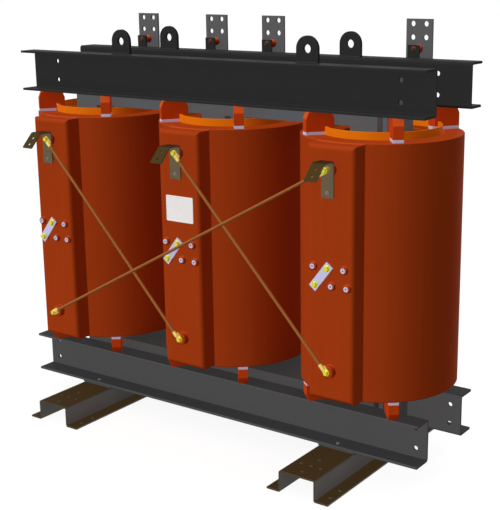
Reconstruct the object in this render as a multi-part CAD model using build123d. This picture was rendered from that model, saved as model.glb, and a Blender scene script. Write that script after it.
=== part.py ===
"""Dry cast-resin power transformer on a skid base, built as an assembly of separate pieces.

Millimetres. +X runs along the row of coils, +Y points to the low-voltage side at the rear, +Z is up.
The origin lies on the floor at the middle of the plan.
"""
import math
import os

from build123d import *

os.makedirs("parts", exist_ok=True)

# General
overrun = 4.0
match = 0.01

# Skids, folded hat sections that run from front to rear
skid_gauge = 1070.0
skid_length = 842.0
skid_height = 75.0
skid_top_width = 137.0
skid_foot_width = 230.0
skid_sheet = 6.0
skid_bend = 1.5
wheel_end = 81.0
wheel_hole_across = 73.0
wheel_hole_along = 100.0
wheel_hole_radius = 5.5
foot_hole_edge = 18.5
foot_hole_pitch = 57.0
foot_hole_end = 44.0
foot_hole_radius = 5.5

# Spacer plates between the skids and the beams
spacer_thickness = 6.5
spacer_setback = 2.0

# Clamping beams, folded channels with their flanges turned outward
beam_overhang = 249.0
beam_height = 145.0
beam_flange = 75.5
beam_plate = 8.0
beam_bend = 2.0
beam_hole_radius = 8.0
beam_hole_pitch = 67.5
bottom_beam_hole_end = 40.0
top_beam_hole_end = 117.0
skid_bolt_setback = 17.0
skid_bolt_radius = 4.5

# Core of stepped sheet packets
core_depth = 233.0
middle_packet_depth = 86.0
second_packet_depth = 167.0
middle_packet_width = 172.0
second_packet_width = 132.0
outer_packet_width = 98.0
yoke_height = 165.0
second_yoke_height = 147.0
outer_yoke_height = 127.0
bottom_yoke_gap = 10.0
top_yoke_gap = 3.0

# Windings, from the core outward
coil_height = 816.5
core_duct = 3.5
lv_build = 51.5
lv_duct = 4.5
barrier_wall = 5.0
barrier_reach = 24.0
hv_duct = 3.0
hv_build = 66.1
hv_edge = 1.5
coil_gap = 66.0

# Terminal block cast on the front of each high-voltage coil
block_width = 165.0
block_reach = 46.0
block_root = 30.0
block_inset = 4.0
block_round = 14.0

# Coil supports and their rubber pads
bottom_stack = 63.5
top_stack = 72.5
support_angle = 49.0
support_turn = 3.0
support_width = 32.5
support_core_gap = 1.5
support_tip = 8.5
support_setback = 4.0
support_chamfer = 9.0
support_chamfer_rise = 22.0
support_slot_play = 2.0
pad_thickness = 10.0
pad_edge = 2.0

# Lifting lugs
lug_gauge = 781.0
lug_width = 81.5
lug_plate = 11.0
lug_eye_height = 43.0
lug_eye_radius = 14.0

# High-voltage terminals on the terminal block
terminal_setdown = 75.0
terminal_rise = 105.5
terminal_boss_radius = 20.0
terminal_boss_length = 14.0
terminal_hole_radius = 6.5
strip_width = 43.0
strip_thickness = 5.0
strip_length = 114.5
strip_overlap = 28.5
strip_bend = 5.0
strip_ledge = 51.0
strip_flap = 64.0
strip_flap_angle = 45.0
strip_end_margin = 16.0
strip_foot_radius = 10.0
flap_hole_pitch = 27.0
flap_hole_radius = 5.5

# Tapping points
tap_pitch = 55.0
tap_row_gap = 56.0
tap_row_shift = 11.0
tap_boss_radius = 13.0
tap_boss_length = 8.0
tap_insert_radius = 8.0
tap_insert_length = 2.5
tap_thread_radius = 3.0
tap_link_width = 28.5
tap_link_end = 15.5
tap_link_thickness = 4.0
tap_hole_radius = 5.0

# Delta rods
rod_radius = 5.0
rod_lug_radius = 10.0
rod_lug_thickness = 4.0
rod_barrel_radius = 6.5
rod_barrel_start = 13.0
rod_barrel_length = 20.0
rod_socket_depth = 15.0
rod_clearance = 0.5
cross_rod_step = 12.5

# Low-voltage bars
bar_width = 96.0
bar_thickness = 8.0
bar_face = 239.0
bar_rise = 123.0
bar_bend = 10.0
bar_foot_inset = 8.0
bar_lead_rise = 50.0
bar_lead_notch = 30.0
bar_hole_radius = 9.0
bar_hole_across = 48.0
bar_hole_along = 44.0
bar_hole_end = 16.0
neutral_offset = 255.0
star_bar_height = 60.0
star_link_width = 60.0
star_link_drop = 40.0

# Stand-off insulators and their brackets
bracket_width = 42.0
bracket_height = 41.0
bracket_plate = 6.0
bracket_foot = 40.0
bracket_standoff = 7.0
bracket_bend = 4.0
insulator_radius = 14.0
insulator_waist_radius = 11.5
insulator_rib = 6.0
insulator_setdown = 15.0
insulator_spigot_radius = 10.0
insulator_play = 0.3

# Radii, levels and planes that follow from the sizes above
core_corner_radius = math.hypot(outer_packet_width, core_depth) / 2
lv_inner_radius = core_corner_radius + core_duct
lv_outer_radius = lv_inner_radius + lv_build
barrier_inner_radius = lv_outer_radius + lv_duct
barrier_outer_radius = barrier_inner_radius + barrier_wall
hv_inner_radius = barrier_outer_radius + hv_duct
hv_outer_radius = hv_inner_radius + hv_build
phase_pitch = 2 * hv_outer_radius + coil_gap
beam_length = 2 * (phase_pitch + beam_overhang)
bottom_beam_low = skid_height + spacer_thickness
bottom_beam_top = bottom_beam_low + beam_height
coil_bottom = bottom_beam_top + bottom_stack
coil_top = coil_bottom + coil_height
top_beam_low = coil_top + top_stack
top_beam_top = top_beam_low + beam_height
bottom_yoke_top = coil_bottom - barrier_reach - bottom_yoke_gap
top_yoke_low = coil_top + barrier_reach + top_yoke_gap
web_back = core_depth / 2
web_face = web_back + beam_plate
flange_tip = web_back + beam_flange
support_outer_radius = hv_outer_radius - support_setback
support_bearing = math.radians(support_angle)
support_line = math.radians(support_angle + support_turn)
support_rake = math.sin(support_line) - math.sin(support_bearing)
support_clear = 2 * (web_back + support_core_gap) + support_width * math.cos(support_line)
support_inner_radius = support_clear + support_outer_radius * support_rake
support_inner_radius /= math.sin(support_line) + math.sin(support_bearing)
support_inner_radius -= support_tip
support_middle = (support_inner_radius + support_outer_radius) / 2
block_front = hv_outer_radius + block_reach
top_terminal_level = coil_top - terminal_setdown
bottom_terminal_level = coil_bottom + terminal_rise
tap_level = (coil_bottom + coil_top) / 2
strip_back = block_front + terminal_boss_length
strip_front = strip_back + strip_thickness
rod_plane = strip_front + rod_barrel_radius + rod_clearance
coil_places = {"left": -phase_pitch, "middle": 0, "right": phase_pitch}
skid_places = {"left": -skid_gauge / 2, "right": skid_gauge / 2}
rows = {"front": -1, "rear": 1}


def save(name, shape):
    export_step(shape, f"parts/{name}.step")


def upright_hole(x, y, z_low, z_high, radius):
    """Cutter for a vertical hole between two levels."""
    depth = z_high - z_low + 2 * overrun
    return Pos(x, y, (z_low + z_high) / 2) * Cylinder(radius, depth)


def level_hole(x, y_low, y_high, z, radius):
    """Cutter for a hole along Y between two planes."""
    depth = y_high - y_low + 2 * overrun
    return Pos(x, (y_low + y_high) / 2, z) * Rot(90, 0, 0) * Cylinder(radius, depth)


def front_stub(x, y_back, y_front, z, radius):
    """Round stub along Y, between a back plane and a front plane."""
    return Pos(x, (y_back + y_front) / 2, z) * Rot(90, 0, 0) * Cylinder(radius, abs(y_front - y_back))


def slab(x_mid, x_size, y_low, y_high, z_low, z_high):
    """Plain block given by its middle in X and its faces in Y and Z."""
    middle = Pos(x_mid, (y_low + y_high) / 2, (z_low + z_high) / 2)
    return middle * Box(x_size, y_high - y_low, z_high - z_low)


def rounded(face, place, radius):
    """Round the corners of a flat outline that lie at one place along its first axis."""
    return fillet([v for v in face.vertices() if abs(v.X - place) < match], radius)


def folded_strip(points, bend, thickness, width, x_mid):
    """Flat strip folded along a path of (y, z) points and laid symmetrically about x_mid."""
    path = FilletPolyline(*points, radius=bend + thickness / 2)
    section = Plane.YZ * trace(path, line_width=thickness)
    return Pos(x_mid, 0, 0) * extrude(section, amount=width / 2, both=True)


def skid(x_mid):
    """Hat section open below, with wheel holes in its crown and fixing holes in its feet."""
    crown = skid_top_width / 2
    foot = skid_foot_width / 2
    inside = crown - skid_sheet
    under = skid_height - skid_sheet
    outline = Polyline(
        (-foot, 0), (-inside, 0), (-inside, under), (inside, under), (inside, 0), (foot, 0),
        (foot, skid_sheet), (crown, skid_sheet), (crown, skid_height), (-crown, skid_height),
        (-crown, skid_sheet), (-foot, skid_sheet), close=True,
    )
    profile = make_face(outline)
    folds_out = [v for v in profile.vertices() if abs(v.Y - skid_height) < match]
    profile = fillet(folds_out, skid_bend + skid_sheet)
    folds_in = [v for v in profile.vertices() if abs(v.Y - under) < match and abs(abs(v.X) - inside) < match]
    profile = fillet(folds_in, skid_bend)
    toes_in = [v for v in profile.vertices() if abs(v.Y - skid_sheet) < match and abs(abs(v.X) - crown) < match]
    profile = fillet(toes_in, skid_bend)
    toes_out = [v for v in profile.vertices() if abs(v.Y) < match and abs(abs(v.X) - inside) < match]
    profile = fillet(toes_out, skid_bend + skid_sheet)
    body = extrude(Plane.XZ * profile, amount=skid_length / 2, both=True)
    for end in rows.values():
        wheel = end * (skid_length / 2 - wheel_end)
        spots = [(0, 0), (-1, 0), (1, 0), (0, -1), (0, 1)]
        for across, along in spots:
            x = across * wheel_hole_across / 2
            y = wheel + along * wheel_hole_along / 2
            body -= upright_hole(x, y, under, skid_height, wheel_hole_radius)
        for side in (-1, 1):
            for step in range(2):
                y = end * (skid_length / 2 - foot_hole_end - step * foot_hole_pitch)
                x = side * (foot - foot_hole_edge)
                body -= upright_hole(x, y, 0, skid_sheet, foot_hole_radius)
        bolt = end * (flange_tip - skid_bolt_setback)
        body -= upright_hole(0, bolt, under, skid_height, skid_bolt_radius)
    return Pos(x_mid, 0, 0) * body


def skid_spacers():
    """Four flat plates that carry the bottom beams on the skids."""
    plates = []
    for x_mid in skid_places.values():
        for end in rows.values():
            reach = sorted((end * web_back, end * (flange_tip - spacer_setback)))
            plate = slab(x_mid, skid_top_width, *reach, skid_height, bottom_beam_low)
            bolt = end * (flange_tip - skid_bolt_setback)
            plates.append(plate - upright_hole(x_mid, bolt, skid_height, bottom_beam_low, skid_bolt_radius))
    return Compound(children=plates)


def beam(z_low, end, hole_end):
    """Folded channel along X with its web against the core and its flanges turned outward."""
    outline = Polyline(
        (web_back, 0), (flange_tip, 0), (flange_tip, beam_plate), (web_face, beam_plate),
        (web_face, beam_height - beam_plate), (flange_tip, beam_height - beam_plate),
        (flange_tip, beam_height), (web_back, beam_height), close=True,
    )
    profile = rounded(make_face(outline), web_back, beam_bend + beam_plate)
    profile = rounded(profile, web_face, beam_bend)
    body = extrude(Plane.YZ * profile, amount=beam_length / 2, both=True)
    body = Pos(0, 0, z_low) * body
    for side in (-1, 1):
        for step in (-1, 1):
            level = z_low + beam_height / 2 + step * beam_hole_pitch / 2
            x = side * (beam_length / 2 - hole_end)
            body -= level_hole(x, web_back, web_face, level, beam_hole_radius)
    if end < 0:
        body = mirror(body, Plane.XZ)
    return body


def bottom_beam(end):
    """Beam bolted down on the skids through its lower flange."""
    body = beam(bottom_beam_low, end, bottom_beam_hole_end)
    bolt = end * (flange_tip - skid_bolt_setback)
    for x in skid_places.values():
        body -= upright_hole(x, bolt, bottom_beam_low, bottom_beam_low + beam_plate, skid_bolt_radius)
    return body


packets = [
    (middle_packet_depth, middle_packet_width, yoke_height),
    (second_packet_depth, second_packet_width, second_yoke_height),
    (core_depth, outer_packet_width, outer_yoke_height),
]


def yoke(window_face, direction):
    """Horizontal stack of sheet packets, flat on the window side and stepped on the far side."""
    stack = Part()
    for depth, width, height in packets:
        levels = sorted((window_face, window_face + direction * height))
        stack += slab(0, 2 * phase_pitch + width, -depth / 2, depth / 2, *levels)
    return stack


def limb(x_mid):
    """Upright stack of sheet packets, stepped towards a round section."""
    stack = Part()
    for depth, width, height in packets:
        stack += slab(x_mid, width, -depth / 2, depth / 2, bottom_yoke_top, top_yoke_low)
    return stack


def tube(x_mid, inner, outer, z_low, z_high):
    """Upright tube about a coil axis."""
    ring = Circle(outer) - Circle(inner)
    return Pos(x_mid, 0, z_low) * extrude(ring, amount=z_high - z_low)


def lv_coil(x_mid):
    """Low-voltage winding, sealed with resin at both ends."""
    return tube(x_mid, lv_inner_radius, lv_outer_radius, coil_bottom, coil_top)


def barrier(x_mid):
    """Insulating tube between the windings, which stands out at both ends."""
    low = coil_bottom - barrier_reach
    return tube(x_mid, barrier_inner_radius, barrier_outer_radius, low, coil_top + barrier_reach)


def tap_places():
    """Offsets (x, z) of the tapping points from the middle of the block: upper row, then lower row."""
    places = []
    for row in (1, -1):
        for column in (-1, 0, 1):
            x = column * tap_pitch - row * tap_row_shift / 2
            places.append((x, row * tap_row_gap / 2))
    return places


linked_taps = (1, 3)


def hv_coil(x_mid):
    """Cast high-voltage winding with a terminal block and its bosses moulded on the front."""
    ring = tube(0, hv_inner_radius, hv_outer_radius, coil_bottom, coil_top)
    rims = [e for e in ring.edges().filter_by(GeomType.CIRCLE) if abs(e.radius - hv_outer_radius) < match]
    ring = chamfer(rims, hv_edge)
    low = coil_bottom + block_inset
    high = coil_top - block_inset
    block = slab(0, block_width, -block_front, block_root - hv_outer_radius, low, high)
    block = fillet(block.faces().sort_by(Axis.Y)[0].edges(), block_round)
    body = ring + block
    root = block_round - block_front
    strip_foot = top_terminal_level + strip_overlap - strip_length + strip_end_margin
    bosses = [
        (0, top_terminal_level, terminal_boss_radius, terminal_boss_length),
        (0, strip_foot, strip_foot_radius, terminal_boss_length),
        (0, bottom_terminal_level, terminal_boss_radius, terminal_boss_length + strip_thickness),
    ]
    for x, z in tap_places():
        bosses.append((x, tap_level + z, tap_boss_radius, tap_boss_length))
    for x, z, radius, length in bosses:
        body += front_stub(x, root, -block_front - length, z, radius)
    return Pos(x_mid, 0, 0) * body


def support_places(x_mid, level):
    """Places of the four supports round one coil, each turned a little about its own middle."""
    spots = [
        (support_angle, support_turn), (180 - support_angle, -support_turn),
        (180 + support_angle, support_turn), (-support_angle, -support_turn),
    ]
    middle = Pos(support_middle, 0, 0)
    return [Pos(x_mid, 0, level) * Rot(0, 0, spot) * middle * Rot(0, 0, turn) for spot, turn in spots]


def supports(x_mid, coil_face, direction, stack, slot_depth):
    """Four radial moulded blocks at a coil's end, slotted over the barrier and cut off beside the core."""
    slot_in = lv_outer_radius
    slot_out = hv_inner_radius
    rise = stack - support_chamfer_rise
    outline = Polyline(
        (support_inner_radius, pad_thickness), (slot_in, pad_thickness), (slot_in, slot_depth),
        (slot_out, slot_depth), (slot_out, pad_thickness), (support_outer_radius, pad_thickness),
        (support_outer_radius, rise), (support_outer_radius - support_chamfer, stack),
        (support_inner_radius + support_chamfer, stack), (support_inner_radius, rise), close=True,
    )
    block = extrude(Plane.XZ * make_face(outline), amount=support_width / 2, both=True)
    block = Pos(-support_middle, 0, 0) * block
    if direction < 0:
        block = mirror(block, Plane.XY)
    levels = sorted((coil_face, coil_face + direction * stack))
    clear = web_back + support_core_gap
    core = slab(x_mid, 2 * support_outer_radius, -clear, clear, *levels)
    return Compound(children=[place * block - core for place in support_places(x_mid, coil_face)])


def coil_pads():
    """Rubber pads between the supports and both windings, at both ends of every coil."""
    reaches = [
        (support_inner_radius, lv_outer_radius - pad_edge),
        (hv_inner_radius + pad_edge, support_outer_radius),
    ]
    levels = [coil_bottom - pad_thickness / 2, coil_top + pad_thickness / 2]
    placed = []
    for x_mid in coil_places.values():
        for level in levels:
            for place in support_places(x_mid, level):
                for inner, outer in reaches:
                    pad = Box(outer - inner, support_width, pad_thickness)
                    placed.append(place * Pos((inner + outer) / 2 - support_middle, 0, 0) * pad)
    return Compound(children=placed)


def lifting_lugs():
    """Four upright eye plates welded along the top flanges."""
    lugs = []
    radius = lug_width / 2
    outline = Rectangle(lug_width, lug_eye_height, align=(Align.CENTER, Align.MIN))
    outline += Pos(0, lug_eye_height) * Circle(radius)
    outline -= Pos(0, lug_eye_height) * Circle(lug_eye_radius)
    below = Rectangle(lug_width, lug_width, align=(Align.CENTER, Align.MAX))
    plate = extrude(Plane.XZ * (outline - below), amount=lug_plate / 2, both=True)
    for side in (-1, 1):
        for end in rows.values():
            y = end * (web_face + lug_plate / 2)
            lugs.append(Pos(side * lug_gauge / 2, y, top_beam_top) * plate)
    return Compound(children=lugs)


bar_places = {"left": -phase_pitch, "neutral": -neutral_offset, "middle": 0, "right": phase_pitch}
bar_top = top_beam_top + bar_rise
bar_middle = bar_face + bar_thickness / 2
insulator_level = top_beam_top + bracket_height - insulator_setdown
bracket_back = flange_tip + bracket_standoff + bracket_plate


def bar_holes(x_mid):
    """Cutters for the four connection holes at the head of a bar."""
    cutters = []
    for row in range(2):
        level = bar_top - bar_hole_end - row * bar_hole_along
        for side in (-1, 1):
            x = x_mid + side * bar_hole_across / 2
            cutters.append(level_hole(x, bar_face, bar_face + bar_thickness, level, bar_hole_radius))
    return cutters


def lv_bar(x_mid):
    """Folded bar, notched where it leaves the low-voltage winding, out under the beam and up to its head."""
    foot = lv_outer_radius - bar_foot_inset - bar_thickness / 2
    lead = coil_top + bar_lead_rise
    points = [(foot, coil_top), (foot, lead), (bar_middle, lead), (bar_middle, bar_top)]
    body = folded_strip(points, bar_bend, bar_thickness, bar_width, x_mid)
    edge = x_mid + (bar_width - bar_lead_notch) / 2 + overrun
    notch = slab(edge, bar_lead_notch + 2 * overrun, 0, hv_inner_radius, coil_top, lead + bar_thickness)
    body -= notch
    for cutter in bar_holes(x_mid):
        body -= cutter
    return body


def neutral_bar():
    """Straight riser from the star bar to the neutral connection head."""
    x_mid = bar_places["neutral"]
    low = coil_bottom - star_link_drop - star_bar_height / 2
    body = slab(x_mid, bar_width, bar_face, bar_face + bar_thickness, low, bar_top)
    for cutter in bar_holes(x_mid):
        body -= cutter
    return body


def star_bar():
    """Level bar behind the coils that joins the lower ends of the three low-voltage windings."""
    level = coil_bottom - star_link_drop
    back = bar_face + bar_thickness
    half = star_bar_height / 2
    body = slab(0, 2 * phase_pitch + star_link_width, back, back + bar_thickness, level - half, level + half)
    foot = lv_outer_radius - bar_foot_inset - bar_thickness / 2
    for x_mid in coil_places.values():
        points = [(foot, coil_bottom), (foot, level), (back + bar_thickness / 2, level)]
        body += folded_strip(points, bar_bend, bar_thickness, star_link_width, x_mid)
    return body


def lv_brackets():
    """Folded angles, screwed up under the rear top flange, that hold the insulators."""
    middle = bracket_back - bracket_plate / 2
    seat = top_beam_top - beam_plate - bracket_plate / 2
    points = [(flange_tip - bracket_foot, seat), (middle, seat), (middle, top_beam_top + bracket_height)]
    angle = folded_strip(points, bracket_bend, bracket_plate, bracket_width, 0)
    socket = insulator_spigot_radius + insulator_play
    angle -= level_hole(0, bracket_back - bracket_plate, bracket_back, insulator_level, socket)
    return Compound(children=[Pos(x_mid, 0, 0) * angle for x_mid in bar_places.values()])


def lv_insulators():
    """Round stand-off insulators, waisted between two ribs, with a spigot seated in each bracket."""
    length = bar_face - bracket_back
    outline = Polyline(
        (0, -bracket_plate), (insulator_spigot_radius, -bracket_plate), (insulator_spigot_radius, 0),
        (insulator_radius, 0), (insulator_radius, insulator_rib),
        (insulator_waist_radius, 2 * insulator_rib), (insulator_waist_radius, length - 2 * insulator_rib),
        (insulator_radius, length - insulator_rib), (insulator_radius, length), (0, length), close=True,
    )
    body = revolve(make_face(outline), axis=Axis.Y)
    placed = [Pos(x_mid, bracket_back, insulator_level) * body for x_mid in bar_places.values()]
    return Compound(children=placed)


def hv_terminal(x_mid):
    """Folded connection strip bolted on the upper boss: a leg, a ledge and a flap that slopes down."""
    middle = -(strip_back + strip_thickness / 2)
    high = top_terminal_level + strip_overlap - strip_thickness / 2
    low = top_terminal_level + strip_overlap - strip_length
    fold = middle - strip_ledge
    slope = math.radians(strip_flap_angle)
    tip = (fold - strip_flap * math.cos(slope), high - strip_flap * math.sin(slope))
    points = [(middle, low), (middle, high), (fold, high), tip]
    body = folded_strip(points, strip_bend, strip_thickness, strip_width, x_mid)
    for level in (top_terminal_level, low + strip_end_margin):
        body -= level_hole(x_mid, -strip_front, -strip_back, level, terminal_hole_radius)
    drill = Rot(strip_flap_angle, 0, 0) * Cylinder(flap_hole_radius, strip_thickness + 2 * overrun)
    for step in range(2):
        spot = strip_flap - strip_end_margin - step * flap_hole_pitch
        body -= Pos(x_mid, fold - spot * math.cos(slope), high - spot * math.sin(slope)) * drill
    return body


def tap_inserts():
    """Threaded inserts on the tapping points that the links leave free."""
    ring = extrude(Plane.XZ * (Circle(tap_insert_radius) - Circle(tap_thread_radius)), amount=tap_insert_length)
    inserts = []
    for x_mid in coil_places.values():
        for index, (x, z) in enumerate(tap_places()):
            if index not in linked_taps:
                inserts.append(Pos(x_mid + x, -block_front - tap_boss_length, tap_level + z) * ring)
    return Compound(children=inserts)


def tap_links():
    """Flat link on each coil that joins an upper tapping point to a lower one."""
    links = []
    start, end = [tap_places()[index] for index in linked_taps]
    span = math.hypot(start[0] - end[0], start[1] - end[1])
    tilt = math.degrees(math.atan2(start[1] - end[1], start[0] - end[0]))
    middle = Pos((start[0] + end[0]) / 2, (start[1] + end[1]) / 2)
    outline = middle * Rot(0, 0, tilt) * Rectangle(span + 2 * tap_link_end, tap_link_width)
    for x, z in (start, end):
        outline -= Pos(x, z) * Circle(tap_hole_radius)
    plate = extrude(Plane.XZ * outline, amount=tap_link_thickness)
    for x_mid in coil_places.values():
        links.append(Pos(x_mid, -block_front - tap_boss_length, tap_level) * plate)
    return Compound(children=links)


def rod_place(start, end, step):
    """Place and length of a rod from one upper terminal to one lower terminal, along its own X."""
    run = coil_places[end] - coil_places[start]
    drop = bottom_terminal_level - top_terminal_level
    tilt = -math.degrees(math.atan2(drop, run))
    place = Pos(coil_places[start], -rod_plane - step, top_terminal_level) * Rot(0, tilt, 0)
    return place, math.hypot(run, drop)


def delta_rod(start, end, step):
    """Straight round rod that reaches into the lug sockets at both of its ends."""
    place, length = rod_place(start, end, step)
    cut = rod_barrel_start + rod_barrel_length - rod_socket_depth
    return place * Pos(length / 2, 0, 0) * Rot(0, 90, 0) * Cylinder(rod_radius, length - 2 * cut)


def rod_lug(step):
    """Crimped lug: a flat eye that lies on the terminal and a socket for the rod."""
    seat = rod_barrel_radius + rod_clearance
    tongue = Rectangle(rod_barrel_start + rod_barrel_length / 2, 2 * rod_lug_radius,
                       align=(Align.MIN, Align.CENTER))
    tongue += Circle(rod_lug_radius)
    tongue -= Circle(terminal_hole_radius)
    lug = Pos(0, seat, 0) * extrude(Plane.XZ * tongue, amount=rod_lug_thickness)
    if step > 0:
        sleeve = Circle(rod_lug_radius) - Circle(terminal_hole_radius)
        lug += Pos(0, seat + step, 0) * extrude(Plane.XZ * sleeve, amount=step)
    barrel = Pos(rod_barrel_start + rod_barrel_length / 2, 0, 0) * Rot(0, 90, 0)
    lug += barrel * Cylinder(rod_barrel_radius, rod_barrel_length)
    socket_end = rod_barrel_start + rod_barrel_length
    depth = rod_socket_depth + overrun
    socket = Pos(socket_end + overrun - depth / 2, 0, 0) * Rot(0, 90, 0)
    return lug - socket * Cylinder(rod_radius, depth)


rods = {
    "left": ("left", "middle", 0),
    "right": ("middle", "right", 0),
    "cross": ("right", "left", cross_rod_step),
}


def rod_lugs():
    """A lug at each end of every rod."""
    lugs = []
    for start, end, step in rods.values():
        place, length = rod_place(start, end, step)
        lugs.append(place * rod_lug(step))
        lugs.append(place * Pos(length, 0, 0) * mirror(rod_lug(step), Plane.YZ))
    return Compound(children=lugs)


for place, x_skid in skid_places.items():
    save(f"skid_{place}", skid(x_skid))
save("skid_spacers", skid_spacers())
for row, row_sign in rows.items():
    save(f"bottom_beam_{row}", bottom_beam(row_sign))
    save(f"top_beam_{row}", beam(top_beam_low, row_sign, top_beam_hole_end))
save("core_bottom_yoke", yoke(bottom_yoke_top, -1))
save("core_top_yoke", yoke(top_yoke_low, 1))
for place, x_coil in coil_places.items():
    save(f"core_limb_{place}", limb(x_coil))
    save(f"lv_coil_{place}", lv_coil(x_coil))
    save(f"barrier_{place}", barrier(x_coil))
    save(f"hv_coil_{place}", hv_coil(x_coil))
    save(f"bottom_supports_{place}", supports(x_coil, coil_bottom, -1, bottom_stack, barrier_reach))
    top_slot = barrier_reach + support_slot_play
    save(f"top_supports_{place}", supports(x_coil, coil_top, 1, top_stack, top_slot))
    save(f"lv_bar_{place}", lv_bar(x_coil))
    save(f"hv_terminal_{place}", hv_terminal(x_coil))
save("coil_pads", coil_pads())
save("lifting_lugs", lifting_lugs())
save("lv_neutral_bar", neutral_bar())
save("lv_star_bar", star_bar())
save("lv_brackets", lv_brackets())
save("lv_insulators", lv_insulators())
save("tap_inserts", tap_inserts())
save("tap_links", tap_links())
for place, ends in rods.items():
    save(f"delta_rod_{place}", delta_rod(*ends))
save("rod_lugs", rod_lugs())
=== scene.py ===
"""Dry cast-resin power transformer, dressed piece by piece in the order in which it is put together."""
import math

import bmesh
import bpy
from mathutils import Matrix, Vector


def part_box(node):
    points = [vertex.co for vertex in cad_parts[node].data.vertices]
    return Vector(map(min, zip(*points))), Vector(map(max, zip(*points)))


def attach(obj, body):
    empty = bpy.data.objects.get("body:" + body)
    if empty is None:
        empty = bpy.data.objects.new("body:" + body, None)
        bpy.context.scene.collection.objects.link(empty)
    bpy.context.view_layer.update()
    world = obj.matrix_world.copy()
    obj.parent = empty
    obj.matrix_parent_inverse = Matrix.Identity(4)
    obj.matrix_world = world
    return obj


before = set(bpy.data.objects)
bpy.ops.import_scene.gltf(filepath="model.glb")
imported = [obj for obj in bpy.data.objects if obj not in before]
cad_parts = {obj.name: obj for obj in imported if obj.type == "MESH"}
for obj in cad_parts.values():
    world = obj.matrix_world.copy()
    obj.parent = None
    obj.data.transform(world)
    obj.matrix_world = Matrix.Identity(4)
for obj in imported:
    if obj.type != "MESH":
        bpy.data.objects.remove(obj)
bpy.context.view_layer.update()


# Skids
# Two hat sections folded from sheet steel, which carry the whole transformer on the floor.
# Their level faces are painted dark brown and their ends darker, as painted shade,
# and their upright sides a lighter grey, as painted light.
class Wire:
    """An output socket of a finish. Plain arithmetic on it adds Math nodes."""

    def __init__(self, graph, socket):
        self.graph = graph
        self.socket = socket

    def maths(self, operation, first, second):
        return self.graph.node("ShaderNodeMath", {"operation": operation}, {0: first, 1: second})

    def __add__(self, other):
        return self.maths("ADD", self, other)

    def __radd__(self, other):
        return self.maths("ADD", other, self)

    def __sub__(self, other):
        return self.maths("SUBTRACT", self, other)

    def __rsub__(self, other):
        return self.maths("SUBTRACT", other, self)

    def __mul__(self, other):
        return self.maths("MULTIPLY", self, other)

    def __rmul__(self, other):
        return self.maths("MULTIPLY", other, self)

    def __truediv__(self, other):
        return self.maths("DIVIDE", self, other)

    def __rtruediv__(self, other):
        return self.maths("DIVIDE", other, self)

    def __pow__(self, other):
        return self.maths("POWER", self, other)

    def __rpow__(self, other):
        return self.maths("POWER", other, self)

    def at_least(self, other):
        return self.maths("MAXIMUM", self, other)

    def at_most(self, other):
        return self.maths("MINIMUM", self, other)


class Graph:
    """A node tree in which node() makes every node."""

    def __init__(self, tree):
        self.tree = tree
        self.tree.nodes.clear()

    def node(self, kind, settings=None, sockets=None, out=0):
        made = self.tree.nodes.new(kind)
        for name, value in (settings or {}).items():
            setattr(made, name, value)
        for name, value in (sockets or {}).items():
            if isinstance(value, Wire):
                self.tree.links.new(value.socket, made.inputs[name])
            else:
                made.inputs[name].default_value = value
        return Wire(self, made.outputs[out]) if made.outputs else None


class Finish(Graph):
    """A material of one surface shader, with the patterns that the finishes here share."""

    def __init__(self, name):
        self.material = bpy.data.materials.new(name)
        self.material.use_nodes = True
        super().__init__(self.material.node_tree)
        self.place = self.node("ShaderNodeTexCoord", out="Object")

    def noise(self, size, detail, stretch=(1.0, 1.0, 1.0)):
        """Cloudy value from 0 to 1 with patches of about the given size in metres."""
        scaled = self.node("ShaderNodeMapping", {}, {"Vector": self.place, "Scale": stretch})
        return self.node("ShaderNodeTexNoise", {}, {"Vector": scaled, "Scale": 1.0 / size, "Detail": detail})

    def blend(self, factor, first, second):
        """Colour between two colours."""
        return self.node("ShaderNodeMix", {"data_type": "RGBA"}, {0: factor, 6: first, 7: second}, out=2)

    def rounded(self, radius):
        """Normal that is eased over edges, as a rolled or cast edge is."""
        return self.node("ShaderNodeBevel", {"samples": 6}, {"Radius": radius})

    def along(self, axis, vector):
        """One part of a vector: X, Y or Z."""
        return self.node("ShaderNodeSeparateXYZ", {}, {"Vector": vector}, out=axis)

    def flat(self):
        """Normal of the plain mesh."""
        return self.node("ShaderNodeNewGeometry", out="Normal")

    def upward(self):
        """Value that is 1 on faces that point straight up and 0 on upright ones."""
        return self.along("Z", self.flat()).at_least(0.0)

    def edge(self, normal):
        """Value that rises from 0 on a flat to about 1 along an edge."""
        steepness = 6.0
        meeting = {0: self.flat(), 1: normal}
        agree = self.node("ShaderNodeVectorMath", {"operation": "DOT_PRODUCT"}, meeting, out="Value")
        return ((1.0 - agree) * steepness).at_most(1.0)

    def upper_edge(self, normal):
        """Value that is about 1 along the edges at which an upright face turns to a top."""
        reach = 1.6
        rise = self.along("Z", normal).at_least(0.0)
        return (self.edge(normal) * rise * reach).at_most(1.0)

    def bump(self, height, depth, normal):
        """Normal for a relief of the given depth in metres."""
        relief = {"Strength": 1.0, "Distance": depth, "Height": height, "Normal": normal}
        return self.node("ShaderNodeBump", {}, relief)

    def surface(self, **values):
        """The surface shader, with underscores for the spaces in its sockets' names."""
        sockets = {name.replace("_", " "): value for name, value in values.items()}
        shader = self.node("ShaderNodeBsdfPrincipled", {}, sockets)
        self.node("ShaderNodeOutputMaterial", {}, {"Surface": shader})


def tone(red, green, blue):
    """Colour from display values of 0 to 255."""
    levels = [value / 255 for value in (red, green, blue)]
    linear = [((v + 0.055) / 1.055) ** 2.4 if v > 0.04045 else v / 12.92 for v in levels]
    return (*linear, 1.0)


def dress(finish, *names):
    """Give CAD nodes a finish."""
    for name in names:
        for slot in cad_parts[name].material_slots:
            slot.material = finish.material


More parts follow.
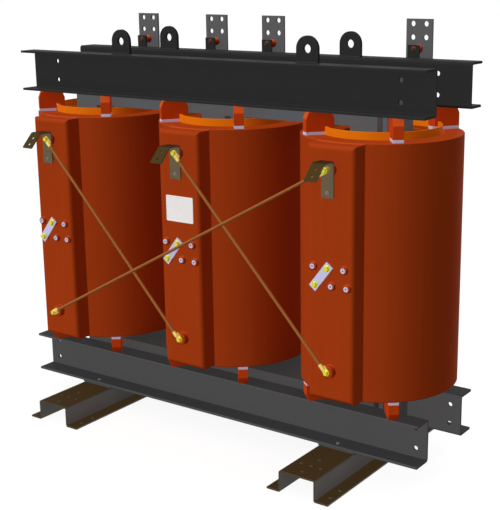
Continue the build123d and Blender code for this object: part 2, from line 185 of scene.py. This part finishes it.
def facing_shaded_steel():
    """Sheet steel painted dark brown on its level faces and darker on its ends as painted shade, lighter on
    its upright sides as painted light, and marked lengthwise by the folding.
    """
    # Upright sides get a lighter grey as painted light; level faces dark brown and ends a darker tone as
    # painted shade.
    side_light_grey = tone(138, 135, 132)
    top_shade_brown = tone(58, 43, 23)
    end_shade_tone = tone(80, 70, 54)
    draw_mark = tone(56, 44, 28)
    rubbed_edge = tone(128, 118, 104)
    finish = Finish("facing_shaded_steel")
    cloud = finish.noise(size=0.09, detail=4.0)
    drawn = finish.noise(size=0.012, detail=3.0, stretch=(1.0, 0.06, 1.0))
    grain = finish.noise(size=0.0016, detail=2.0)
    normal = finish.rounded(radius=0.0015)
    lengthwise = finish.along("Y", finish.flat())
    # Level faces painted dark brown: painted shade, loosened by a little random cloud.
    top_shade_mask = (finish.upward() + cloud * 0.12).at_most(1.0)
    colour = finish.blend(top_shade_mask, side_light_grey, top_shade_brown)
    # Faces turned to front and rear painted darker: painted shade.
    colour = finish.blend(lengthwise * lengthwise, colour, end_shade_tone)
    colour = finish.blend(drawn * 0.16, colour, draw_mark)
    colour = finish.blend(finish.edge(normal) * 0.2, colour, rubbed_edge)
    finish.surface(Base_Color=colour, Roughness=0.5 + cloud * 0.2, Specular_IOR_Level=0.03,
                   Normal=finish.bump(grain, depth=0.00008, normal=normal))
    return finish


dress(facing_shaded_steel(), "skid_left", "skid_right")


# Bottom beams
# Two channels folded from plate, with their flanges turned outward, that clamp the lower yoke.
# They are sprayed dark grey, with a fine orange peel and thin paint along the folded edges,
# and so are the flat spacer plates on which they lie.
def sprayed_paint(name, face, top, worn):
    """Satin paint, painted darker on the level faces as painted shade, and worn thin along the edges."""
    finish = Finish(name)
    cloud = finish.noise(size=0.16, detail=4.0)
    peel = finish.noise(size=0.0035, detail=2.0)
    normal = finish.rounded(radius=0.0016)
    # Level faces take the top tone: painted shade.
    colour = finish.blend(finish.upward(), face, top)
    colour = finish.blend(cloud * 0.03, colour, worn)
    colour = finish.blend(finish.edge(normal) * 0.5, colour, worn)
    finish.surface(Base_Color=colour, Roughness=0.5 + cloud * 0.16, Specular_IOR_Level=0.015,
                   Normal=finish.bump(peel, depth=0.0001, normal=normal))
    return finish


# The darker top tone is painted shade on the level faces.
lower_paint = sprayed_paint("lower_beam_paint", face=tone(79, 78, 79), top=tone(48, 48, 49),
                            worn=tone(118, 118, 118))
dress(lower_paint, "bottom_beam_front", "bottom_beam_rear", "skid_spacers")


# Skid bolts
# Hex bolts of plain zinc-plated steel that hold the beams down on the spacers and skids,
# each with a flat washer on the flange and a nut and washer inside the skid's crown.
def hexagon(mesh, across, height):
    """Hex prism on the plane z = 0 with a chamfered crown."""
    crown = height * 0.14
    chamfer = across * 0.075
    corner = across / math.sqrt(3)
    base = bmesh.ops.create_circle(mesh, cap_ends=True, segments=6, radius=corner)["verts"]
    face = base[0].link_faces[0]
    grown = bmesh.ops.extrude_face_region(mesh, geom=[face])["geom"]
    top = [item for item in grown if isinstance(item, bmesh.types.BMVert)]
    bmesh.ops.translate(mesh, verts=top, vec=(0, 0, height - crown))
    lid = [item for item in grown if isinstance(item, bmesh.types.BMFace)]
    bmesh.ops.inset_region(mesh, faces=lid, thickness=chamfer, depth=crown)
    return list({vert for vert in base + top + [v for f in lid for v in f.verts]})


def disc(mesh, radius, thickness):
    """Flat round washer on the plane z = 0 with eased rims."""
    rim = thickness * 0.2
    level = 1e-6
    base = bmesh.ops.create_cone(mesh, cap_ends=True, segments=32, radius1=radius, radius2=radius,
                                 depth=thickness)["verts"]
    bmesh.ops.translate(mesh, verts=base, vec=(0, 0, thickness / 2))
    edges = [edge for edge in {e for v in base for e in v.link_edges}
             if abs(edge.verts[0].co.z - edge.verts[1].co.z) < level]
    bmesh.ops.bevel(mesh, geom=edges, offset=rim, affect="EDGES", segments=2, profile=0.5, material=-1)


def seat(mesh, verts, point, axis, turn):
    """Stand what was modelled on z = 0 at a point, along an axis."""
    spin = Matrix.Rotation(math.radians(turn), 4, "Z")
    aim = Vector((0, 0, 1)).rotation_difference(Vector(axis)).to_matrix().to_4x4()
    bmesh.ops.transform(mesh, verts=verts, matrix=Matrix.Translation(point) @ aim @ spin)


def fastener(mesh, point, axis, size, turn):
    """Hex head or nut on its washer, seated at a point, facing along an axis and turned in degrees.

    The size is the width across flats, the head's height, and the washer's radius and thickness.
    """
    across, height, washer, plate = size
    before = set(mesh.verts)
    disc(mesh, washer, plate)
    head = hexagon(mesh, across, height)
    bmesh.ops.translate(mesh, verts=head, vec=(0, 0, plate))
    seat(mesh, [v for v in mesh.verts if v not in before], point, axis, turn)


def finish_piece(mesh, name, finish, smooth_angle=32):
    """Turn a mesh into a named object of the transformer that rides on its one body."""
    bmesh.ops.recalc_face_normals(mesh, faces=mesh.faces)
    for edge in mesh.edges:
        edge.smooth = len(edge.link_faces) == 2 and edge.calc_face_angle(0) < math.radians(smooth_angle)
    for face in mesh.faces:
        face.smooth = True
    data = bpy.data.meshes.new(name)
    mesh.to_mesh(data)
    mesh.free()
    data.materials.append(finish.material)
    piece = bpy.data.objects.new(name, data)
    bpy.context.scene.collection.objects.link(piece)
    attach(piece, "root")


def zinc_plating(name, bright, shade):
    """Plated metal with a fine cloudy sheen."""
    finish = Finish(name)
    cloud = finish.noise(size=0.006, detail=3.0)
    colour = finish.blend(cloud, bright, shade)
    finish.surface(Base_Color=colour, Roughness=0.3 + cloud * 0.2, Metallic=0.35, Specular_IOR_Level=0.5,
                   Normal=finish.rounded(radius=0.0006))
    return finish


upwards = (0, 0, 1)
downwards = (0, 0, -1)
skid_bolt_setback = 0.017
skid_sheet = 0.006
flange_plate = 0.008
skid_bolt_head = (0.010, 0.004, 0.0065, 0.0012)
skid_bolt_nut = (0.013, 0.0065, 0.0085, 0.0016)
skid_head_turn = 12
skid_nut_turn = 40
plain_zinc = zinc_plating("plain_zinc", bright=tone(120, 120, 122), shade=tone(94, 94, 97))
beam_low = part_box("bottom_beam_front")[0]
skid_bolts = bmesh.new()
for skid_name in ("skid_left", "skid_right"):
    skid_low, skid_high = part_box(skid_name)
    bolt_x = (skid_low.x + skid_high.x) / 2
    for side in (-1, 1):
        bolt_y = side * (abs(beam_low.y) - skid_bolt_setback)
        above = (bolt_x, bolt_y, beam_low.z + flange_plate)
        below = (bolt_x, bolt_y, skid_high.z - skid_sheet)
        fastener(skid_bolts, above, upwards, skid_bolt_head, skid_head_turn)
        fastener(skid_bolts, below, downwards, skid_bolt_nut, skid_nut_turn)
finish_piece(skid_bolts, "skid_bolts", plain_zinc)


# Core
# Stacks of thin silicon-steel sheets in stepped packets: two yokes and three limbs.
# The sheets lie one behind the other from front to rear, under a grey protective varnish.
# Faces turned to the sides are painted lighter as painted light, where the sheets' cut edges show,
# and level faces darker as painted shade; the lower yoke was sprayed with its beams.
def varnished_sheets(name, face, top, side_light_tone):
    """Stack of sheets that shows its joints, and a shade that changes every few sheets."""
    half_sheet = 0.0009
    shade_depth = 0.0054
    dust = tone(64, 65, 66)
    joint = tone(52, 53, 54)
    finish = Finish(name)
    cloud = finish.noise(size=0.12, detail=4.0)
    depth = finish.along("Y", finish.place)
    sheet = finish.node("ShaderNodeMath", {"operation": "PINGPONG"}, {0: depth, 1: half_sheet})
    step = finish.node("ShaderNodeMath", {"operation": "SNAP"}, {0: depth, 1: shade_depth})
    shade = finish.node("ShaderNodeTexWhiteNoise", {"noise_dimensions": "1D"}, {"W": step})
    ridge = sheet / half_sheet
    normal = finish.rounded(radius=0.0012)
    across = finish.along("X", finish.flat())
    # Level faces take the top tone: painted shade.
    colour = finish.blend(finish.upward(), face, top)
    # Faces turned to the sides are painted lighter: painted light.
    colour = finish.blend(across * across, colour, side_light_tone)
    colour = finish.blend(cloud * 0.12 + shade * 0.1, colour, dust)
    colour = finish.blend((1.0 - ridge) * 0.15, colour, joint)
    finish.surface(Base_Color=colour, Roughness=0.5 + cloud * 0.2, Specular_IOR_Level=0.04,
                   Normal=finish.bump(ridge, depth=0.00025, normal=normal))
    return finish


# The top tones are painted shade; the side tones are painted light.
varnished = varnished_sheets("varnished_sheets", face=tone(96, 101, 104), top=tone(92, 93, 94),
                             side_light_tone=tone(134, 142, 150))
sprayed = varnished_sheets("sprayed_sheets", face=tone(82, 81, 82), top=tone(51, 51, 51),
                           side_light_tone=tone(96, 96, 97))
dress(varnished, "core_top_yoke", "core_limb_left", "core_limb_middle", "core_limb_right")
dress(sprayed, "core_bottom_yoke")


# Low-voltage windings
# Foil wound with insulating film next to the core, sealed at both ends with a poured resin rim.
# The resin has the same brick-red pigment as the castings round it, a little duller.
def cast_resin(name, face, deep, dullness):
    """Pigmented resin with faint upright flow marks, and a painted highlight along its upper edges."""
    painted_edge_highlight = tone(244, 104, 58)
    finish = Finish(name)
    cloud = finish.noise(size=0.22, detail=5.0)
    streak = finish.noise(size=0.011, detail=2.0, stretch=(1.0, 1.0, 0.02))
    peel = finish.noise(size=0.0045, detail=2.0)
    normal = finish.rounded(radius=0.0045)
    colour = finish.blend(cloud * 0.3 + streak * 0.4, face, deep)
    # Upper edges painted paler: a painted highlight.
    colour = finish.blend(finish.upper_edge(normal) * 0.45, colour, painted_edge_highlight)
    finish.surface(Base_Color=colour, Roughness=dullness + cloud * 0.14, Specular_IOR_Level=0.005,
                   Normal=finish.bump(peel, depth=0.00012, normal=normal))
    return finish


places = ("left", "middle", "right")
lv_resin = cast_resin("poured_resin", face=tone(150, 53, 13), deep=tone(138, 47, 12), dullness=0.5)
dress(lv_resin, *[f"lv_coil_{place}" for place in places])


# Barriers
# A tube of glass-fibre laminate stands between the two windings of each coil.
# It is wound at a slant from tape, so the lay of the fibres crosses round the tube.
def wound_laminate():
    """Orange laminate with a visible lay, paler on its sawn edges."""
    amber = tone(221, 117, 8)
    deep_amber = tone(207, 107, 7)
    fibre = tone(172, 84, 4)
    sawn_edge = tone(240, 160, 50)
    finish = Finish("wound_laminate")
    cloud = finish.noise(size=0.08, detail=4.0)
    lay = finish.noise(size=0.004, detail=3.0, stretch=(1.0, 1.0, 0.25))
    normal = finish.rounded(radius=0.001)
    colour = finish.blend(cloud * 0.5, amber, deep_amber)
    colour = finish.blend(lay * 0.2, colour, fibre)
    colour = finish.blend(finish.edge(normal) * 0.4, colour, sawn_edge)
    finish.surface(Base_Color=colour, Roughness=0.42 + lay * 0.15, Specular_IOR_Level=0.04,
                   Normal=finish.bump(lay, depth=0.0001, normal=normal))
    return finish


dress(wound_laminate(), *[f"barrier_{place}" for place in places])


# High-voltage windings
# Each winding is cast under vacuum in pigmented resin, with the terminal block and its bosses
# moulded on the front. The skin keeps the mould's even satin gloss and faint upright flow marks.
hv_resin = cast_resin("cast_resin", face=tone(162, 59, 18), deep=tone(145, 51, 16), dullness=0.45)
dress(hv_resin, *[f"hv_coil_{place}" for place in places])


# Supports and pads
# Moulded resin blocks hold each coil off the beams at four points, above and below.
# Pale silicone-rubber pads lie between the blocks and the windings and take up the movement.
def moulded_block(name, face, deep):
    """Moulded resin, painted lighter on its tops as painted light and with a painted highlight along its
    upper edges.
    """
    painted_top_light = tone(240, 112, 50)
    painted_edge_highlight = tone(232, 104, 44)
    finish = Finish(name)
    cloud = finish.noise(size=0.05, detail=4.0)
    grit = finish.noise(size=0.0012, detail=2.0)
    normal = finish.rounded(radius=0.0015)
    colour = finish.blend(cloud * 0.5, face, deep)
    # Tops painted lighter: painted light.
    colour = finish.blend(finish.upward() * 0.6, colour, painted_top_light)
    # Upper edges painted paler: a painted highlight.
    colour = finish.blend(finish.upper_edge(normal) * 0.6, colour, painted_edge_highlight)
    finish.surface(Base_Color=colour, Roughness=0.52 + cloud * 0.16, Specular_IOR_Level=0.04,
                   Normal=finish.bump(grit, depth=0.00006, normal=normal))
    return finish


def silicone_rubber():
    """Pale lilac rubber with a soft, slightly uneven skin."""
    lilac = tone(202, 192, 216)
    deep_lilac = tone(182, 172, 198)
    finish = Finish("silicone_rubber")
    cloud = finish.noise(size=0.02, detail=3.0)
    normal = finish.rounded(radius=0.0015)
    colour = finish.blend(cloud * 0.6, lilac, deep_lilac)
    finish.surface(Base_Color=colour, Roughness=0.55 + cloud * 0.15, Specular_IOR_Level=0.1,
                   Normal=finish.bump(cloud, depth=0.0001, normal=normal))
    return finish


support_resin = moulded_block("moulded_block", face=tone(190, 62, 12), deep=tone(168, 50, 10))
dress(support_resin, *[f"{end}_supports_{place}" for end in ("bottom", "top") for place in places])
dress(silicone_rubber(), "coil_pads")


# Top beams and lifting lugs
# The upper channels clamp the top yoke as the lower ones do, and carry four eye plates for lifting.
# Beams, lugs and brackets are sprayed near black after the plates have been welded on.
# The slightly darker top tone is painted shade on the level faces.
upper_paint = sprayed_paint("upper_beam_paint", face=tone(43, 43, 43), top=tone(38, 38, 39),
                            worn=tone(92, 92, 94))
dress(upper_paint, "top_beam_front", "top_beam_rear", "lifting_lugs")


# Weld beads
# A fillet weld runs along both faces of each lifting lug's foot, laid in overlapping ripples
# and painted over with the beams.
bead_step = 0.0052
bead_radius = 0.0042
bead_stretch = 1.15
bead_smoothing = 60
lug_plate = 0.011
lug_width = 0.0815
lugs_low, lugs_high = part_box("lifting_lugs")
weld_beads = bmesh.new()
ripples = int(lug_width / bead_step)
for end_x in (lugs_low.x + lug_width / 2, lugs_high.x - lug_width / 2):
    for face_y in (lugs_low.y, lugs_low.y + lug_plate, lugs_high.y - lug_plate, lugs_high.y):
        for ripple in range(ripples):
            bead_x = end_x + (ripple - (ripples - 1) / 2) * bead_step
            bead_place = Matrix.Translation((bead_x, face_y, lugs_low.z))
            bead_shape = Matrix.Diagonal((bead_stretch, 1.0, 1.0, 1.0))
            bmesh.ops.create_icosphere(weld_beads, subdivisions=2, radius=bead_radius,
                                       matrix=bead_place @ bead_shape)
finish_piece(weld_beads, "weld_beads", upper_paint, bead_smoothing)


# Low-voltage bars
# Flat aluminium bars rise from the windings behind the rear beam to heads with four holes each.
# A star bar joins the lower ends. The metal has its mill finish, with faint marks along its length.
def mill_aluminium():
    """Grey rolled aluminium with marks along its length."""
    mill_grey = tone(92, 92, 94)
    deep_grey = tone(82, 82, 84)
    roll_mark = tone(112, 112, 113)
    finish = Finish("mill_aluminium")
    cloud = finish.noise(size=0.06, detail=4.0)
    drawn = finish.noise(size=0.004, detail=3.0, stretch=(1.0, 1.0, 0.03))
    normal = finish.rounded(radius=0.0012)
    colour = finish.blend(cloud * 0.5, mill_grey, deep_grey)
    colour = finish.blend(drawn * 0.2, colour, roll_mark)
    finish.surface(Base_Color=colour, Roughness=0.4 + drawn * 0.2, Metallic=0.1, Specular_IOR_Level=0.08,
                   Normal=finish.bump(drawn, depth=0.00006, normal=normal))
    return finish


dress(mill_aluminium(), *[f"lv_bar_{place}" for place in places], "lv_neutral_bar", "lv_star_bar")


# Insulators and brackets
# Folded brackets under the rear beam's flange hold the bars off on round moulded insulators.
# A hex bolt from below holds each bracket, one clamps each bar to its insulator at the rear,
# and one in the bracket's hole holds the insulator from the front; its dark brown is painted shade of the
# hole.
dress(upper_paint, "lv_brackets")
insulator_resin = moulded_block("moulded_insulator", face=tone(156, 50, 22), deep=tone(136, 42, 18))
dress(insulator_resin, "lv_insulators")

frontwards = (0, -1, 0)
rearwards = (0, 1, 0)
bracket_foot = 0.040
bracket_bolt = (0.013, 0.0055, 0.0085, 0.0016)
bracket_bolt_turn = 20
insulator_bolt = (0.013, 0.004, 0.0095, 0.0012)
bar_bolt = (0.017, 0.0065, 0.0125, 0.002)
bar_bolt_turn = 8
star_bolt = (0.019, 0.0075, 0.014, 0.0025)
star_bolt_turn = 15
star_bolt_step = 0.024
star_bolt_rise = 0.03
insulator_low, insulator_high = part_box("lv_insulators")
bracket_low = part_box("lv_brackets")[0]
insulator_z = (insulator_low.z + insulator_high.z) / 2
star_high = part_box("lv_star_bar")[1]
bar_bolts = bmesh.new()
insulator_bolts = bmesh.new()
for bar_name in ("lv_bar_left", "lv_neutral_bar", "lv_bar_middle", "lv_bar_right"):
    bar_low, bar_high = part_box(bar_name)
    bar_x = (bar_low.x + bar_high.x) / 2
    foot = (bar_x, bracket_low.y + bracket_foot / 2, bracket_low.z)
    socket_front = (bar_x, insulator_low.y, insulator_z)
    bar_rear = (bar_x, bar_high.y, insulator_z)
    fastener(bar_bolts, foot, downwards, bracket_bolt, bracket_bolt_turn)
    fastener(insulator_bolts, socket_front, frontwards, insulator_bolt, bar_bolt_turn)
    fastener(bar_bolts, bar_rear, rearwards, bar_bolt, bar_bolt_turn)
    if bar_name == "lv_neutral_bar":
        for side in (-1, 1):
            joint = (bar_x + side * star_bolt_step, star_high.y, bar_low.z + star_bolt_rise)
            fastener(bar_bolts, joint, rearwards, star_bolt, star_bolt_turn)
finish_piece(bar_bolts, "bar_bolts", plain_zinc)
# The bolt in the bracket's hole is dark brown: painted shade of the hole.
hole_shade_brown = zinc_plating("hole_shade_brown_steel", bright=tone(78, 42, 31), shade=tone(58, 32, 25))
finish_piece(insulator_bolts, "insulator_bolts", hole_shade_brown)


# High-voltage terminals
# A plated strip on each upper boss folds forward to a sloping flap for the cable lug.
# The plating has toned to an olive grey; its upward-sloping faces are painted browner and its level ones
# darkest, as painted shade.
def toned_plating():
    """Toned plating, painted browner on sloping faces and darkest on level ones as painted shade."""
    olive = tone(110, 98, 78)
    deep_olive = tone(98, 84, 62)
    slope_shade_brown = tone(64, 51, 20)
    level_shade_brown = tone(42, 33, 14)
    rubbed_edge = tone(140, 130, 96)
    finish = Finish("toned_plating")
    cloud = finish.noise(size=0.02, detail=4.0)
    drawn = finish.noise(size=0.0025, detail=3.0, stretch=(1.0, 0.15, 0.15))
    normal = finish.rounded(radius=0.001)
    colour = finish.blend(cloud, olive, deep_olive)
    # Upward faces painted browner, level faces darkest: painted shade.
    colour = finish.blend((finish.upward() * 1.6).at_most(1.0), colour, slope_shade_brown)
    colour = finish.blend(finish.upward() ** 6.0, colour, level_shade_brown)
    colour = finish.blend(finish.edge(normal) * 0.4, colour, rubbed_edge)
    finish.surface(Base_Color=colour, Roughness=0.35 + drawn * 0.2, Metallic=0.1, Specular_IOR_Level=0.03,
                   Normal=finish.bump(drawn, depth=0.00005, normal=normal))
    return finish


dress(toned_plating(), *[f"hv_terminal_{place}" for place in places])


# Tapping points
# Tinned inserts are cast into the bosses in the middle of each block, and a tinned link on two of
# them sets the voltage. Yellow-passivated hex bolts hold the link.
tinned = zinc_plating("tinned_metal", bright=tone(196, 198, 226), shade=tone(180, 182, 210))
yellow = zinc_plating("yellow_plating", bright=tone(230, 224, 46), shade=tone(200, 194, 38))
dress(tinned, "tap_inserts", "tap_links")

tap_pitch = 0.055
tap_row_gap = 0.056
tap_row_shift = 0.011
link_bolt = (0.017, 0.0065, 0.0105, 0.002)
link_bolt_turn = 25
link_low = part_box("tap_links")[0]
coil_low, coil_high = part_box("hv_coil_middle")
tap_z = (coil_low.z + coil_high.z) / 2
link_spots = ((-tap_row_shift / 2, tap_row_gap / 2), (tap_row_shift / 2 - tap_pitch, -tap_row_gap / 2))
link_bolts = bmesh.new()
for place in places:
    block_low, block_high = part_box(f"hv_coil_{place}")
    middle_x = (block_low.x + block_high.x) / 2
    for across, up in link_spots:
        spot = (middle_x + across, link_low.y, tap_z + up)
        fastener(link_bolts, spot, frontwards, link_bolt, link_bolt_turn)
finish_piece(link_bolts, "link_bolts", yellow)


# Delta rods
# Three lacquered copper rods join the coils in delta across the front, with a crimped lug
# at each end. A yellow hex bolt and washer clamp each lug to its terminal.
def lacquered_copper():
    """Copper under a clear brown lacquer."""
    copper = tone(152, 94, 42)
    deep_copper = tone(134, 82, 36)
    finish = Finish("lacquered_copper")
    cloud = finish.noise(size=0.03, detail=4.0)
    colour = finish.blend(cloud, copper, deep_copper)
    finish.surface(Base_Color=colour, Roughness=0.32 + cloud * 0.2, Metallic=0.1, Specular_IOR_Level=0.12,
                   Normal=finish.rounded(radius=0.0008))
    return finish


dress(lacquered_copper(), "delta_rod_left", "delta_rod_right", "delta_rod_cross")
tinned_brass = zinc_plating("tinned_brass", bright=tone(232, 206, 112), shade=tone(206, 180, 82))
dress(tinned_brass, "rod_lugs")

terminal_setdown = 0.075
terminal_rise = 0.1055
rod_seat = 0.007
lug_thickness = 0.004
terminal_bolt = (0.015, 0.0065, 0.0095, 0.0016)
terminal_bolt_turn = 10
terminal_bolts = bmesh.new()
upper_and_lower_rods = {
    "left": ("delta_rod_left", "delta_rod_cross"),
    "middle": ("delta_rod_right", "delta_rod_left"),
    "right": ("delta_rod_cross", "delta_rod_right"),
}
terminal_levels = (coil_high.z - terminal_setdown, coil_low.z + terminal_rise)
for place, rod_names in upper_and_lower_rods.items():
    block_low, block_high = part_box(f"hv_coil_{place}")
    middle_x = (block_low.x + block_high.x) / 2
    for rod_name, level in zip(rod_names, terminal_levels):
        rod_low, rod_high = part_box(rod_name)
        face_y = (rod_low.y + rod_high.y) / 2 + rod_seat - lug_thickness
        fastener(terminal_bolts, (middle_x, face_y, level), frontwards, terminal_bolt, terminal_bolt_turn)
finish_piece(terminal_bolts, "terminal_bolts", yellow)


# Strip screws
# A small screw in the lower hole of each terminal strip holds it to the boss behind.
# Its zinc plating has dulled and is only a little brighter than the strip.
strip_end = 0.016
strip_thickness = 0.005
strip_screw = (0.008, 0.0025, 0.0068, 0.0008)
strip_screw_turn = 0
strip_screws = bmesh.new()
for place in places:
    strip_low, strip_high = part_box(f"hv_terminal_{place}")
    spot = ((strip_low.x + strip_high.x) / 2, strip_high.y - strip_thickness, strip_low.z + strip_end)
    fastener(strip_screws, spot, frontwards, strip_screw, strip_screw_turn)
dull_zinc = zinc_plating("dull_zinc", bright=tone(126, 118, 104), shade=tone(106, 98, 84))
finish_piece(strip_screws, "strip_screws", dull_zinc)


# Bare plate
# A plain white enamelled plate, stuck flat on the resin of the middle block. It is pressed
# from thin sheet, with rounded corners, eased edges and a shallow step inside its border.
def white_enamel():
    """Glossy off-white enamel with a slight ripple."""
    off_white = tone(240, 236, 234)
    deep_white = tone(226, 220, 218)
    finish = Finish("white_enamel")
    cloud = finish.noise(size=0.03, detail=3.0)
    normal = finish.rounded(radius=0.0005)
    colour = finish.blend(cloud * 0.5, off_white, deep_white)
    finish.surface(Base_Color=colour, Roughness=0.25 + cloud * 0.12, Specular_IOR_Level=0.5,
                   Normal=finish.bump(cloud, depth=0.00008, normal=normal))
    return finish


plate_left = -0.057
plate_right = 0.056
plate_low = 0.798
plate_high = 0.885
plate_thickness = 0.0016
plate_corner = 0.004
plate_ease = 0.0006
plate_ease_rise = 0.0003
plate_border = 0.003
plate_step = 0.0005
plate_step_drop = 0.0004
block_reach = 0.046
hv_radius = (coil_high.x - coil_low.x) / 2
plate_seat = -hv_radius - block_reach
plate_middle = ((plate_left + plate_right) / 2, plate_seat, (plate_low + plate_high) / 2)
plate_size = (plate_right - plate_left, plate_high - plate_low, 1.0, 1.0)
plate_shape = Matrix.Translation(plate_middle) @ Matrix.Rotation(math.radians(90), 4, "X")
plate_shape = plate_shape @ Matrix.Diagonal(plate_size)
plate = bmesh.new()
bmesh.ops.create_grid(plate, x_segments=1, y_segments=1, size=0.5, matrix=plate_shape)
bmesh.ops.bevel(plate, geom=plate.verts[:], offset=plate_corner, affect="VERTICES", segments=5, profile=0.5,
                material=-1)
raised = bmesh.ops.extrude_face_region(plate, geom=plate.faces[:])["geom"]
front = [item for item in raised if isinstance(item, bmesh.types.BMVert)]
bmesh.ops.translate(plate, verts=front, vec=(0, -plate_thickness, 0))
lid = [item for item in raised if isinstance(item, bmesh.types.BMFace)]
bmesh.ops.inset_region(plate, faces=lid, thickness=plate_ease, depth=plate_ease_rise)
bmesh.ops.inset_region(plate, faces=lid, thickness=plate_border, depth=0.0)
bmesh.ops.inset_region(plate, faces=lid, thickness=plate_step, depth=-plate_step_drop)
finish_piece(plate, "bare_plate", white_enamel())


# Studio
# A wide pale floor, an even dim sky and three broad lamps: the main one at the front left, a weak
# one low on the right and one low behind. The lamps throw no hard shadow, and the floor keeps the
# soft one under the skids. Floor and sky look white to the camera and in gloss.
floor_half = 40.0
floor_gap = 0.0005
floor_mesh = bmesh.new()
bmesh.ops.create_grid(floor_mesh, x_segments=1, y_segments=1, size=floor_half,
                      matrix=Matrix.Translation((0, 0, -floor_gap)))
floor_data = bpy.data.meshes.new("floor")
floor_mesh.to_mesh(floor_data)
floor_mesh.free()
floor = bpy.data.objects.new("floor", floor_data)
bpy.context.scene.collection.objects.link(floor)


def seen(graph):
    """1 for what the camera, gloss and glass show, 0 for what only lights the object."""
    camera_ray = graph.node("ShaderNodeLightPath", out="Is Camera Ray")
    glossy_ray = graph.node("ShaderNodeLightPath", out="Is Glossy Ray")
    clear_ray = graph.node("ShaderNodeLightPath", out="Is Transmission Ray")
    return camera_ray.at_least(glossy_ray).at_least(clear_ray)


pure_white = (1.0, 1.0, 1.0, 1.0)
pale_grey = (0.7, 0.7, 0.7, 1.0)
dim_grey = (0.2, 0.2, 0.2, 1.0)
floor_glow = 0.31
floor_finish = Finish("pale_floor")
pale = floor_finish.node("ShaderNodeBsdfDiffuse", {}, {"Color": pale_grey})
dim = floor_finish.node("ShaderNodeBsdfDiffuse", {}, {"Color": dim_grey})
glow = floor_finish.node("ShaderNodeEmission", {}, {"Color": pure_white, "Strength": floor_glow})
pale = floor_finish.node("ShaderNodeAddShader", {}, {0: pale, 1: glow})
mixed = floor_finish.node("ShaderNodeMixShader", {}, {0: seen(floor_finish), 1: dim, 2: pale})
floor_finish.node("ShaderNodeOutputMaterial", {}, {"Surface": mixed})
floor_data.materials.append(floor_finish.material)

sky_seen = 1.0
sky_fill = 0.18
sky = bpy.data.worlds.new("studio_sky")
sky.use_nodes = True
bpy.context.scene.world = sky
sky_graph = Graph(sky.node_tree)
white = sky_graph.node("ShaderNodeBackground", {}, {"Color": pure_white, "Strength": sky_seen})
fill = sky_graph.node("ShaderNodeBackground", {}, {"Color": pure_white, "Strength": sky_fill})
sky_mix = sky_graph.node("ShaderNodeMixShader", {}, {0: seen(sky_graph), 1: fill, 2: white})
sky_graph.node("ShaderNodeOutputWorld", {}, {"Surface": sky_mix})


def broad_lamp(name, bearing, height, strength, spread):
    """Soft lamp far off, at a bearing from the front and a height above the floor in degrees."""
    lamp = bpy.data.lights.new(name, "SUN")
    lamp.energy = strength
    lamp.angle = math.radians(spread)
    lamp.use_shadow = False
    stand = bpy.data.objects.new(name, lamp)
    stand.rotation_euler = (math.radians(90 - height), 0, math.radians(bearing))
    bpy.context.scene.collection.objects.link(stand)
    return stand


broad_lamp("key_lamp", bearing=-25, height=44, strength=3.35, spread=30)
fill_stand = broad_lamp("fill_lamp", bearing=78, height=8, strength=0.34, spread=40)
back_stand = broad_lamp("back_lamp", bearing=188, height=14, strength=1.5, spread=40)
fill_stand.visible_glossy = False
back_stand.visible_glossy = False


# Camera
# The viewpoint of the photograph: right of the front, a little above the lifting lugs,
# with a fairly long lens and a small shift that frames the transformer as it is there.
eye = Vector((2.3278, -3.0878, 1.6159))
aim = Vector((0.186695, 0.0, 0.676403))
roll = math.radians(-0.5)
camera = bpy.data.cameras.new("camera")
camera.lens = 78.95
camera.sensor_width = 36.0
camera.shift_x = -0.058
camera.shift_y = -0.017
camera.clip_end = 200.0
camera_object = bpy.data.objects.new("camera", camera)
camera_object.location = eye
facing = (aim - eye).to_track_quat("-Z", "Y").to_matrix().to_4x4()
camera_object.rotation_euler = (facing @ Matrix.Rotation(roll, 4, "Z")).to_euler()
bpy.context.scene.collection.objects.link(camera_object)
bpy.context.scene.camera = camera_object

bpy.context.scene.view_settings.view_transform = "Standard"
